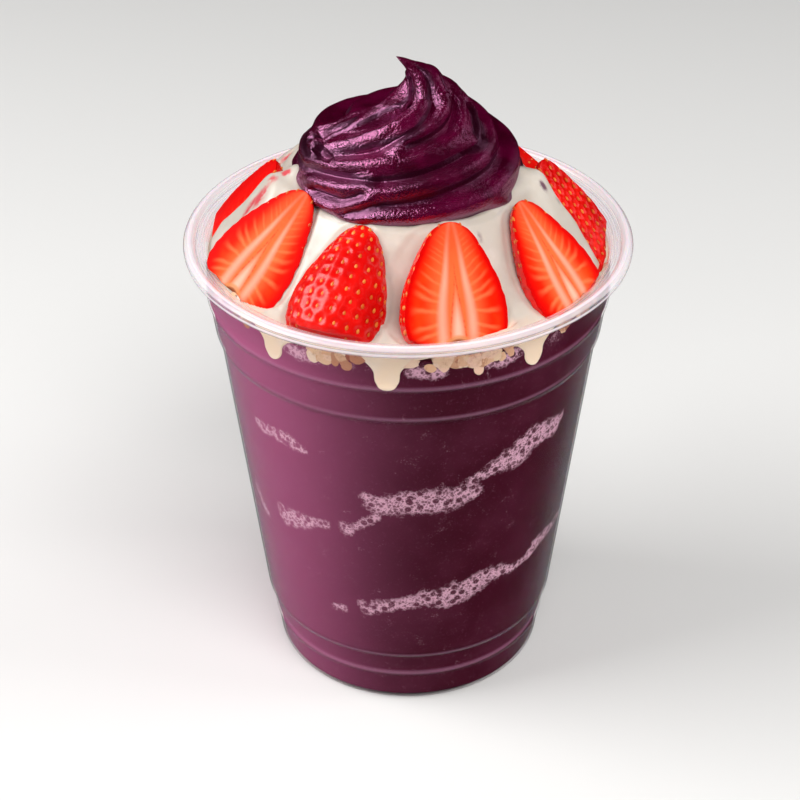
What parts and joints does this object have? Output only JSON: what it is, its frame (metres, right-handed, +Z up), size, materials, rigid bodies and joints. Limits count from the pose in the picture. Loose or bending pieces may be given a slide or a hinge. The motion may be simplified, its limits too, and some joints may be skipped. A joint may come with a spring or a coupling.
{
  "type": "acai cup",
  "caption": "Clear tapered takeaway cup of purple acai sorbet with granola, running sweet cream, a ring of strawberry halves and a piped swirl with a curled tip.",
  "frame": {"origin": "centre of the foot ring, in the plane that the cup stands on", "axes": "+Z up the cup to the swirl's tip; -Y is the side shown, +X to its right"},
  "size_m": [0.0944, 0.0948, 0.1448],
  "materials": {
    "plastic": "clear thin plastic, milky at the rolled rim",
    "acai": "smooth frozen sorbet",
    "granola": "toasted, rough",
    "cream": "thick and glossy",
    "swirl": "wet soft-serve gloss",
    "berry": "moist cut fruit"
  },
  "bodies": {
    "root": {"cup": "plastic", "acai": "acai", "granola": "granola", "cream": "cream", "swirl": "swirl", "strawberry_1": "berry", "strawberry_2": "berry", "strawberry_3": "berry", "strawberry_4": "berry", "strawberry_5": "berry", "strawberry_6": "berry", "strawberry_7": "berry", "strawberry_8": "berry", "strawberry_9": "berry"}
  },
  "joints": []
}
